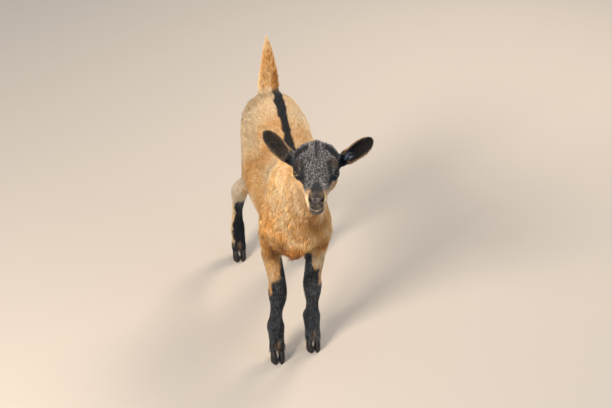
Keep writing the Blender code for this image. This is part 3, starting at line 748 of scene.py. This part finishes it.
def shaped_claw(node):
    """One claw: flat towards its fellow, round outside, drawn to a point at the toe."""
    low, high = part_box(node)
    mid = (low + high) / 2
    inner = -1 if ("left" in node) == ("outer" in node) else 1
    copied = real_faces(node)
    for vert in copied.verts:
        if vert.co.z > low.z + 0.5 * (high.z - low.z):
            vert.co.z += 3.5 * MM
    made = smoothed(copied)
    points = points_of(made)
    off = points - mid
    half_deep = (high.y - low.y) / 2
    toe = np.clip(-off[:, 1] / half_deep, 0, 1) ** 2
    height = ramp(points[:, 2], 0.026, 0)
    points[:, 0] = mid.x + off[:, 0] * (1 - 0.5 * toe * height) + inner * 2.2 * MM * toe * height
    side = off[:, 0] * inner / ((high.x - low.x) / 2)
    points[:, 0] -= inner * 1.3 * MM * ramp(side, 0.1, 1) * (1 - toe)
    points[:, 1] -= 1.2 * MM * toe * height * ramp(side, -1, 0.6)
    set_points(made, points)
    return made


def joined(name, meshes):
    bm = bmesh.new()
    for mesh in meshes:
        bm.from_mesh(mesh)
        bpy.data.meshes.remove(mesh)
    return add_piece(name, mesh_from(bm, name))


claw_nodes = [f"claw_{foot}_{which}" for foot in FEET for which in ("inner", "outer")]
stud_nodes = ["dew" + node for node in claw_nodes]
claws = joined("horn_claws", [shaped_claw(node) for node in claw_nodes])
studs = joined("horn_dewclaws", [smoothed(real_faces(node)) for node in stud_nodes])

# Keratin horn: nearly black and a little clouded, with rings 4.5 mm apart and a low, waxy shine.
horn, shader, add = new_material("dark goat horn")
here = {"Vector": add("TexCoord", out="Object")}
rings = add(  # a wave of scale 1 has 20 / tau rings to a metre
    "TexWave", here, wave_type="BANDS", bands_direction="Z", Scale=math.tau / 20 / (4.5 * MM),
    Distortion=1.6, Detail=2,
)
cloudy = add("TexNoise", here, Scale=1 / (6 * MM))
clouded = add("ValToRGB", {0: cloudy}, [(0.3, "#0C0D10"), (0.55, "#161617"), (0.75, "#2A2725")])
ringed = add("Mix", {SHARE: 0.3, UNDER: clouded, OVER: rings}, blend_type="OVERLAY", **MIXED)
relief = add("Bump", Height=rings.node.outputs["Fac"], Strength=0.35, Distance=0.4 * MM)
add(shader, Base_Color=ringed, Normal=relief, Roughness=0.52, IOR=1.54, Specular_IOR_Level=0.35)
fit(claws, horn, "claw", *claw_nodes)
fit(studs, horn, "claw", *stud_nodes)

# ---- Coat ----
# The kid's own hair: each tuft is a few dozen hairs that lie together, rooted in the hide and
# tapering to a point, and each follows the lie of the coat. Short and close on the face and
# shanks, longer and loose on the neck, breast and belly.
GRID_CELLS = 4096  # along each side of the grid that spaces the roots; the kid takes up fewer
TRIES, GRID_CELL = 3.2, 1.12  # roots tried for each one kept, and the grid's cell in spacings
ROOT_DEPTH, TUFT_FLATNESS = 0.5 * MM, 0.3
MAP_MARGIN, TUFT_PATCH = 0.004, 0.003  # shares of the baked map's width
hide_points = points_of(hide.data)
hide_normals = points_of(hide.data, "normal")
hide.data.calc_loop_triangles()
triangles = np.zeros(len(hide.data.loop_triangles) * 3, np.int32)
hide.data.loop_triangles.foreach_get("vertices", triangles)
triangles = triangles.reshape(-1, 3)
hide_tree = BVHTree.FromPolygons(hide_points.tolist(), triangles.tolist())
corners = hide_points[triangles]
face_facing = np.cross(corners[:, 1] - corners[:, 0], corners[:, 2] - corners[:, 0])
face_areas = 0.5 * np.linalg.norm(face_facing, axis=1)
face_middles = corners.mean(axis=1)
face_shares = shares(face_middles)


def spindle(places):
    """One tuft of unit size: a three-sided spindle along Z, pointed at both ends. places are the
    heights and radii of its rings."""
    bm = bmesh.new()
    line = [bm.verts.new((0, radius, height)) for height, radius in places]
    edges = [bm.edges.new(pair) for pair in zip(line, line[1:])]
    bmesh.ops.spin(
        bm, geom=[*line, *edges], cent=(0, 0, 0), axis=(0, 0, 1), angle=math.tau, steps=3,
        use_merge=True,
    )
    bmesh.ops.remove_doubles(bm, verts=bm.verts, dist=1e-5)
    bmesh.ops.recalc_face_normals(bm, faces=bm.faces)
    shape = np.array([v.co for v in bm.verts])
    bm.verts.index_update()
    faces = [[v.index for v in f.verts] for f in bm.faces]
    bm.free()
    return shape, faces


SPINDLE_ACROSS = 0.866  # half the width of a three-sided spindle of radius 1
SHORT_TUFT = spindle([(0, 0), (0.36, 1), (1, 0)])
LONG_TUFT = spindle([(0, 0), (0.22, 0.9), (0.62, 0.8), (1, 0)])


def one_per_cell(points, size):
    """Picks one point from each cell of a grid."""
    x, y, z = np.floor(points / size).T
    return np.unique((x * GRID_CELLS + y) * GRID_CELLS + z, return_index=True)[1]


def scatter(face_weight, spacing, seed):
    """Roots spread evenly over the hide, about one to a square of the spacing. face_weight is
    the chance of each face."""
    seeds = np.random.default_rng(seed)
    areas = face_areas * face_weight
    tries = int(areas.sum() / spacing**2 * TRIES)
    chosen = np.searchsorted(np.cumsum(areas), seeds.uniform(0, areas.sum(), tries))
    chosen = np.minimum(chosen, len(areas) - 1)
    share = np.sqrt(seeds.uniform(size=tries))
    other = seeds.uniform(size=tries)
    weight = np.stack([1 - share, share * (1 - other), share * other], axis=1)
    corner = triangles[chosen]
    roots = np.einsum("ij,ijk->ik", weight, hide_points[corner])
    facing = unit(np.einsum("ij,ijk->ik", weight, hide_normals[corner]))
    first = one_per_cell(roots, spacing * GRID_CELL)
    return roots[first], facing[first]


def lie_of_coat(points, facing):
    """The way that the hair grows at each point, along the hide."""
    part = shares(points)
    body, head = in_body(points), in_head(points)
    x, y, z = body.T
    way = np.zeros((len(points), 3))

    def toward(weight, *direction):
        columns = np.broadcast_arrays(*direction, x)[:3]
        way[:] += weight[:, None] * unit(np.stack(columns, axis=1).astype(float))

    down = ramp(z, 0.425, 0.33)
    rump = ramp(y, 0.15, 0.21)
    shoulder = bell(y, -0.1, 0.05) * ramp(z, 0.39, 0.34)
    toward(
        part.trunk * (1 - part.chest), 0.1 * np.sign(x) * (1 - down),
        1 - 0.55 * shoulder - 0.5 * rump * down,
        -0.75 * down - 0.8 * shoulder - 1.7 * rump * down - 0.1,
    )
    toward(part.chest * 1.5, -2.2 * x, 0.25, -1)
    throat = ramp(head[:, 2], 0, -0.05)
    around = 0.4 * np.sign(x) * (1 - throat)
    toward(part.neck, around, 0.85 - 0.6 * throat, -0.55 - 0.5 * throat)
    toward(part.tail * 1.5, 0, 0.05, 1)
    toward(part.fore * 1.4, 0, 0.22, -1)
    shank = ramp(z, 0.19, 0.15)
    toward(part.hind * 1.4 * (1 - shank), 0, 0.85, -1)
    toward(part.hind * 1.4 * shank, 0, 0.12, -1)
    jaw = ramp(head[:, 2], -0.01, -0.03)
    crown = ramp(head[:, 1], -0.01, 0.03) * (1 - jaw)
    rise = -0.75 * jaw + 0.15 * (1 - jaw) - 0.2 * crown
    over_face = np.stack([head[:, 0] * 9 * crown, np.ones(len(points)), rise], axis=1)
    toward(part.head, *(over_face @ head_axes.T).T)
    for side in SIDES:
        toward(part.ear[side] * 2, *(head_axes @ EAR_AIM[side]))
    sway = 0.22 * ripple(points, 22 * MM, 11) + 0.16 * ripple(points, 9 * MM, 12)
    calm = part.head + part.tail + part.ears
    calm += part.trunk * bell(x, 0.008, 0.022) * (z > 0.38)
    sway *= 1 - 0.5 * (calm + part.chest + 0.8 * part.neck)
    way = unit(way - dot(way, facing)[:, None] * facing)
    return unit(way + np.cross(facing, way) * sway[:, None])


def on_hide(points):
    """The nearest place on the hide to each point, and the way that the hide faces there."""
    found = [hide_tree.find_nearest(p) for p in points.tolist()]
    return np.array([f[0] for f in found]), np.array([f[1] for f in found])


def gather_tips(roots, tips, size, strength, seed):
    """Draws the tips of neighbouring tufts together, as hair gathers in locks, and gives each
    lock a tone of its own."""
    seeds = np.random.default_rng(seed)
    first = one_per_cell(roots + ripple(roots, size * 2, seed)[:, None] * size * 0.3, size)
    heads = KDTree(len(first))
    for number, index in enumerate(first):
        heads.insert(roots[index], number)
    heads.balance()
    lock = np.array([heads.find(p)[1] for p in roots.tolist()])
    tone = seeds.uniform(-1, 1, len(first))[lock]
    return tips + (tips[first][lock] - tips) * strength, tone


def by_place(setting, points):
    """A setting at each point: one number for all of them, or a function of them."""
    return setting(points) if callable(setting) else np.full(len(points), float(setting))


def lay_coat(
    name, weight, spacing, length, width, seed, *, lift, lock, gather, unwrap, hug=0.85,
    locked=0.55, tuft=SHORT_TUFT,
):
    """Lays one region of the coat. spacing, length, width and lock, the size of a lock, are in mm.
    length, width, lift and hug may be functions of the roots. locked is the share of its shade
    that a whole lock has in common."""
    shape, faces = tuft
    seeds = np.random.default_rng(seed)
    roots, facing = scatter(weight, spacing * MM, seed)
    marks = markings(roots, facing)
    kept = marks["bare"] < 0.5
    for side in SIDES:
        p, q, r = in_eye(roots, side)
        kept &= ~((r > 0) & (np.hypot(p / LID_OPENING[0], q / LID_OPENING[1]) < 1.32))
    roots, facing = roots[kept], facing[kept]
    marks = {key: value[kept] for key, value in marks.items()}
    count = len(roots)
    long = by_place(length, roots) * MM * seeds.uniform(0.72, 1.18, count)
    wide = by_place(width, roots) * MM * seeds.uniform(0.75, 1.25, count)
    flow = lie_of_coat(roots, facing)
    flow = unit(flow + np.cross(facing, flow) * seeds.normal(0, 0.09, count)[:, None])
    hug = by_place(hug, roots)[:, None]
    depth = coat_depth(roots) * by_place(lift, roots) * seeds.uniform(0.55, 1.2, count)
    middle = roots + flow * (long * 0.5)[:, None] + facing * (depth * 0.75)[:, None]
    tip = roots + flow * long[:, None] + facing * depth[:, None]
    near, outward = on_hide(middle)
    middle += (near + outward * (depth * 0.75)[:, None] - middle) * hug
    near, outward = on_hide(tip)
    tip += (near + outward * depth[:, None] - tip) * hug
    tip, tone = gather_tips(roots, tip, lock * MM, gather, seed + 1)
    start = roots - facing * ROOT_DEPTH
    bend = 2 * middle - 0.5 * (start + tip)
    side = unit(np.cross(facing, flow))
    vertices = np.zeros((count, len(shape), 3))
    for index, (across, high, t) in enumerate(shape):
        spot = (1 - t) ** 2 * start + 2 * t * (1 - t) * bend + t * t * tip
        spot += side * (across * wide / 2 / SPINDLE_ACROSS)[:, None]
        spot += facing * (high * wide * TUFT_FLATNESS)[:, None]
        vertices[:, index] = spot
    mesh = bpy.data.meshes.new(name)
    mesh.vertices.add(count * len(shape))
    mesh.vertices.foreach_set("co", vertices.astype(np.float32).ravel())
    sizes = np.tile([len(f) for f in faces], count)
    loops = (np.arange(count)[:, None] * len(shape) + np.concatenate(faces)).ravel()
    mesh.loops.add(len(loops))
    mesh.loops.foreach_set("vertex_index", loops.astype(np.int32))
    mesh.polygons.add(len(sizes))
    mesh.polygons.foreach_set("loop_start", (np.cumsum(sizes) - sizes).astype(np.int32))
    mesh.update(calc_edges=True)
    mesh.validate()
    # Each tuft's patch of the baked map lies where its root is on the unwrapped hide.
    at = MAP_MARGIN + (1 - 2 * MAP_MARGIN) * np.clip(np.stack(unwrap(roots), axis=1), 0, 1)
    cut = np.stack([shape[:, 0] * 0.5, shape[:, 2] - 0.5], axis=1) * TUFT_PATCH
    spread = (at[:, None] + cut).reshape(-1, 2)
    layer = mesh.uv_layers.new(name="OFBake")
    layer.uv.foreach_set("vector", spread[loops].astype(np.float32).ravel())
    own = seeds.uniform(-1, 1, count)
    del marks["bare"]
    marks["tone"] = locked * tone + (1 - locked) * own
    marks["fleck"] = 0.47 + 0.35 * tone + 0.25 * own + 0.3 * marks["light"]
    for key, values in marks.items():
        put_attribute(mesh, key, np.repeat(values, len(shape)))
    put_attribute(mesh, "along", np.tile(shape[:, 2], count))
    fit(add_piece(name, mesh), hair, "coat")


# Goat hair, undyed: dull across, with a soft shine along it, and painted shade that darkens each tuft
# towards its root. Tan on the body, black tinted blue with a painted sky reflection on the stripe,
# ears and stockings, salt and pepper on the brow, cream on the hocks and muzzle.
hair, shader, add = new_material("goat hair")
here = {"Vector": add("TexCoord", out="Object")}
told = {
    name: add("Attribute", attribute_name=name, out="Fac")
    for name in ("black", "pale", "grizzle", "light", "tone", "fleck", "along")
}
# Broad changes of shade over 70 mm, and the change from lock to lock.
broad = add("TexNoise", here, Scale=1 / (70 * MM), Detail=3)
# lit: the broad changes plus the markings' painted light and shade and their own tone.
lit = add("Math", {0: broad, 1: told["light"]}, operation="ADD")
shade = add("Math", {0: told["tone"], 1: 0.2, 2: lit}, operation="MULTIPLY_ADD")
toned, cream, coal, salted, painted_root_shade = (
    add("ValToRGB", {0: source}, steps)
    for source, steps in (
        (shade, [(0.08, "#8F5626"), (0.32, "#D3924A"), (0.54, "#EFBB7C"), (0.82, "#FFE3B8")]),
        (shade, [(0.25, "#D2AC7C"), (0.72, "#FFEED0")]),
        # coal: black hair, tinted blue as a painted reflection of the sky.
        (shade, [(0.24, "#040C15"), (0.55, "#0B1520"), (0.84, "#3A4657")]),
        (told["fleck"], [(0.47, "#0F1318"), (0.63, "#4A4D56"), (0.8, "#BCBEC8")]),
        (told["along"], [(0, "#B4B4B4"), (0.5, "#FFFFFF")]),
    )
)
for share, other in (("pale", cream), ("black", coal), ("grizzle", salted)):
    toned = add("Mix", {SHARE: told[share], UNDER: toned, OVER: other}, **MIXED)
# Painted shade: each tuft is darkened towards its root.
toned = add("Mix", {SHARE: 1, UNDER: toned, OVER: painted_root_shade}, blend_type="MULTIPLY", **MIXED)
add(
    shader, Base_Color=toned, Roughness=0.6, IOR=1.45, Specular_IOR_Level=0.25, Sheen_Weight=0.04,
    Sheen_Roughness=0.4, Subsurface_Weight=0.5, Subsurface_Radius=(1, 0.8, 0.6),
    Subsurface_Scale=1.5 * MM,
)


def round_unwrap(axis_from, axis_to, front):
    """An unwrap round a straight line: along it, and round it from the seam opposite front."""
    start, front = np.array(axis_from), np.array(front)
    axis = np.array(axis_to) - start
    length = np.linalg.norm(axis)
    axis /= length
    ahead = unit(front - dot(front, axis) * axis)
    across = np.cross(axis, ahead)

    def unwrap(points):
        away = in_body(points) - start
        turn = np.arctan2(dot(away, across), dot(away, ahead)) / math.tau + 0.5
        return turn, dot(away, axis) / length

    return unwrap


def on_half(second, u):
    """Places across the first half of the map or, where second says so, across its other half."""
    return np.where(second, 0.51 + u * 0.49, u * 0.49)


def beside(left, right):
    """The unwraps of a left and a right leg, side by side on one map."""

    def unwrap(points):
        on_right = in_body(points)[:, 0] <= 0
        u, v = np.where(on_right, right(points), left(points))
        return on_half(on_right, u), v

    return unwrap


def going_up(points, start, end, low, high):
    """A value that goes from low to high between two heights."""
    return low + (high - low) * ramp(in_body(points)[:, 2], start, end)


trunk_unwrap = round_unwrap((0, -0.2, 0.335), (0, 0.26, 0.365), (0, 0, 1))
neck_unwrap = round_unwrap((0, -0.1, 0.36), (0.02, -0.225, 0.51), (0, 1, 1))
head_unwrap = round_unwrap((0.03, -0.325, 0.5), (0.005, -0.175, 0.52), (0, 0, 1))
tail_unwrap = round_unwrap((-0.008, 0.21, 0.41), (-0.012, 0.215, 0.58), (0, -1, 0))
fore_unwrap = beside(
    round_unwrap((0.037, -0.06, 0.3), (0.037, -0.1, 0.02), (0, -1, 0)),
    round_unwrap((-0.04, -0.06, 0.3), (-0.042, -0.12, 0.02), (0, -1, 0)),
)
hind_unwrap = beside(
    round_unwrap((0.06, 0.17, 0.3), (0.083, 0.23, 0.02), (0, -1, 0)),
    round_unwrap((-0.06, 0.17, 0.3), (-0.076, 0.25, 0.02), (0, -1, 0)),
)

# Back and sides: close hair twelve millimetres long, combed back and down.
side_of_face = np.where(in_body(face_middles)[:, 0] > -0.003, 1, -1)
flank = face_shares.trunk * (1 - face_shares.chest)
for side, way in SIDES.items():
    lay_coat(
        f"coat_flank_{side}", flank * (side_of_face == way), 1.66,
        lambda p: 12 + 7 * shares(p).belly, 1.05, 101 + way,
        lift=0.95, lock=6, gather=0.32, unwrap=trunk_unwrap, locked=0.25,
    )


def breast_hair(points):
    """Longer down the breast, and longest where it ends in a point between the forelegs."""
    x, y, z = in_body(points).T
    brush = bell(x, -0.008, 0.018) * ramp(z, 0.32, 0.298) * ramp(y, -0.085, -0.11)
    return 24 + 14 * ramp(z, 0.39, 0.3) + 12 * brush


def breast_lift(points):
    x, _, z = in_body(points).T
    return 0.85 + 1.2 * bell(x, -0.008, 0.02) * ramp(z, 0.315, 0.29)


# Breast and neck: loose locks that hang to the brisket and part round the legs.
lay_coat(
    "coat_breast", face_shares.chest, 1.45, breast_hair, 1.15, 131,
    tuft=LONG_TUFT, lift=breast_lift, hug=0.4, lock=13, gather=0.5, unwrap=trunk_unwrap,
    locked=0.7,
)
lay_coat(
    "coat_neck", face_shares.neck, 1.62,
    lambda p: 13 + 15 * ramp(in_head(p)[:, 2], -0.01, -0.06), 1.1, 151,
    tuft=LONG_TUFT, lift=0.95, hug=0.6, lock=9, gather=0.42, unwrap=neck_unwrap,
)


def leg_hair(points):
    """Short on the knees, longer on the forearms, fetlocks and hocks and over the claws."""
    _, y, z = in_body(points).T
    over_claw = ramp(z, 0.045, 0.03)
    hock = bell(z, HOCK, 0.024) * (y > HIND_FROM)
    below = 5 + 7 * ramp(z, 0.14, 0.22) + 3 * bell(z, 0.07, 0.03) + 1.5 * bell(z, 0.14, 0.03)
    return below + 15 * over_claw + 10 * hock


def leg_lift(points):
    _, y, z = in_body(points).T
    hind = y > HIND_FROM
    fetlock, knee = bell(z, 0.068, 0.022), bell(z, 0.14, 0.022)
    thick = (1.9 * fetlock + 0.9 * knee) * (1 - 0.5 * hind) + 1.7 * bell(z, HOCK, 0.022) * hind
    return 1 + thick + 1.6 * ramp(z, 0.044, 0.034)


def leg_hug(points):
    _, y, z = in_body(points).T
    hock = bell(z, HOCK, 0.022) * (y > HIND_FROM)
    return 0.85 - 0.8 * ramp(z, 0.046, 0.036) - 0.7 * hock


# Legs: short hair above the knees and hocks and close, sleek hair below.
for name, unwrap, seed in (("fore", fore_unwrap, 171), ("hind", hind_unwrap, 191)):
    lay_coat(
        f"coat_{name}legs", getattr(face_shares, name), 1.38, leg_hair,
        lambda p: going_up(p, 0.14, 0.22, 0.62, 0.85), seed, lift=leg_lift, lock=4,
        gather=0.4, hug=leg_hug, unwrap=unwrap,
    )
# Tail: hair fanned up it and drawn to a point.
lay_coat(
    "coat_tail", face_shares.tail, 1.3, lambda p: going_up(p, 0.52, 0.57, 16, 14),
    1, 211, tuft=LONG_TUFT, lift=lambda p: going_up(p, 0.46, 0.55, 1.7, 1),
    hug=lambda p: going_up(p, 0.54, 0.56, 0.5, 0.1), lock=6, gather=0.55, unwrap=tail_unwrap,
)


def crest_at(x, y, z):
    """The small crest of hair between the ears."""
    return bell(x, 0, 0.007) * bell(y, 0.04, 0.009) * (z > 0.02)


def face_hair(points):
    """Two or three millimetres on the muzzle and brow, longer on the poll, cheeks and jaw."""
    x, y, z = in_head(points).T
    poll = ramp(y, 0.012, 0.045)
    jaw = ramp(z, -0.02, -0.045) * ramp(-y, 0.06, 0.04)
    cheek = ramp(z, -0.004, -0.02) * ramp(-y, 0.05, 0.02)
    long = 2.9 + 6 * poll + 6 * jaw + 3 * cheek + 4 * crest_at(x, y, z)
    return long * (1 - 0.35 * ramp(-y, 0.045, 0.06))


def face_lift(points):
    """Raised on the poll, and most in the crest."""
    x, y, z = in_head(points).T
    return 1 + 0.9 * bell(y, 0.036, 0.016) * ramp(z, 0.01, 0.03) + 1.3 * crest_at(x, y, z)


# Face: the shortest and finest hair.
lay_coat(
    "coat_face", face_shares.head, 0.95, face_hair, 0.6, 231,
    lift=face_lift, lock=1.5, gather=0.35, unwrap=head_unwrap,
)


def ear_unwrap(side):
    """The inside of the ear on one half of the map and its back on the other."""

    def unwrap(points):
        reach, _, across, _ = along_ear(points, side)
        back = on_hide(points)[1] @ head_axes @ EAR_FRONT[side] <= 0
        return on_half(back, np.clip(0.5 + across / (36 * MM), 0, 1)), reach

    return unwrap


def ear_hair(points):
    """Close on the back and inside, longer towards the edges and at the root."""
    edge = np.zeros(len(points))
    for side in SIDES:
        reach, off, _, to_edge = along_ear(points, side)
        long = np.maximum(ramp(to_edge, 0.65, 0.95), ramp(reach, 0.35, 0.15))
        edge = np.maximum(edge, (off < 30 * MM) * long)
    return 4.5 + 3.5 * edge


# Ears: close black hair outside, thin and browner inside, where the ridged skin shows between the
# hairs, and a pale fringe on the edges, partly painted back light.
for side in SIDES:
    inside = ramp(unit(face_facing) @ head_axes @ EAR_FRONT[side], 0, 0.4)
    reach, _, _, to_edge = along_ear(face_middles, side)
    thinned = inside * ramp(to_edge, 0.9, 0.35) * ramp(reach, 0.2, 0.45)
    lay_coat(
        f"coat_ear_{side}", face_shares.ear[side] * (1 - 0.93 * thinned), 1.1, ear_hair,
        0.62, 251 + SIDES[side], lift=1.3, lock=3, gather=0.4, hug=0.5,
        unwrap=ear_unwrap(side),
    )

# ---- Studio ----
# A pale painted floor without a pattern, and three large cloth-fronted lamps.
bm = bmesh.new()
bmesh.ops.create_grid(bm, x_segments=1, y_segments=1, size=40)
floor = add_piece("floor", mesh_from(bm, "floor"))
floor_paint, shader, add = new_material("matt pale floor paint")
add(shader, Base_Color=linear("#BAB7B2"), Roughness=0.85)
floor.data.materials.append(floor_paint)

LAMPS = {  # place, size of the cloth, watts, colour
    "key": ((-1.65, -1.4, 1.6), 0.9, 98, "#FFE9CE"),
    "fill": ((1.7, -1.6, 1.2), 1.6, 8, "#E2EBFF"),
    "rim": ((1.1, 1.3, 1.8), 0.8, 40, "#FFE6C8"),
}
for name, (place_at, size, watts, colour) in LAMPS.items():
    lamp = bpy.data.lights.new(name, "AREA")
    lamp.shape, lamp.size, lamp.energy = "DISK", size, watts
    lamp.color = linear(colour)[:3]
    stand = bpy.data.objects.new(name, lamp)
    stand.location = place_at
    aim = Vector((0, -0.02, 0.3)) - stand.location
    stand.rotation_euler = aim.to_track_quat("-Z", "Y").to_euler()
    scene.collection.objects.link(stand)
room = bpy.data.worlds.new("studio")
room.use_nodes = True
add_node(room.node_tree, room.node_tree.nodes["Background"], Color=linear("#D6DFEE"), Strength=0.56)
scene.world = room
scene.view_settings.view_transform = "Standard"

CAMERA_PLACE = own_zero + Vector((-0.3615, -2.5194, 1.9454))
CAMERA_TURN, CAMERA_TILT = math.radians(-9), math.radians(33)
lens = bpy.data.cameras.new("camera")
lens.sensor_width, lens.lens = 36, 88.24
lens.clip_start, lens.clip_end = 0.05, 60
camera = bpy.data.objects.new("camera", lens)
camera.location = CAMERA_PLACE
camera.rotation_euler = (math.pi / 2 - CAMERA_TILT, 0, CAMERA_TURN)
scene.collection.objects.link(camera)
scene.camera = camera
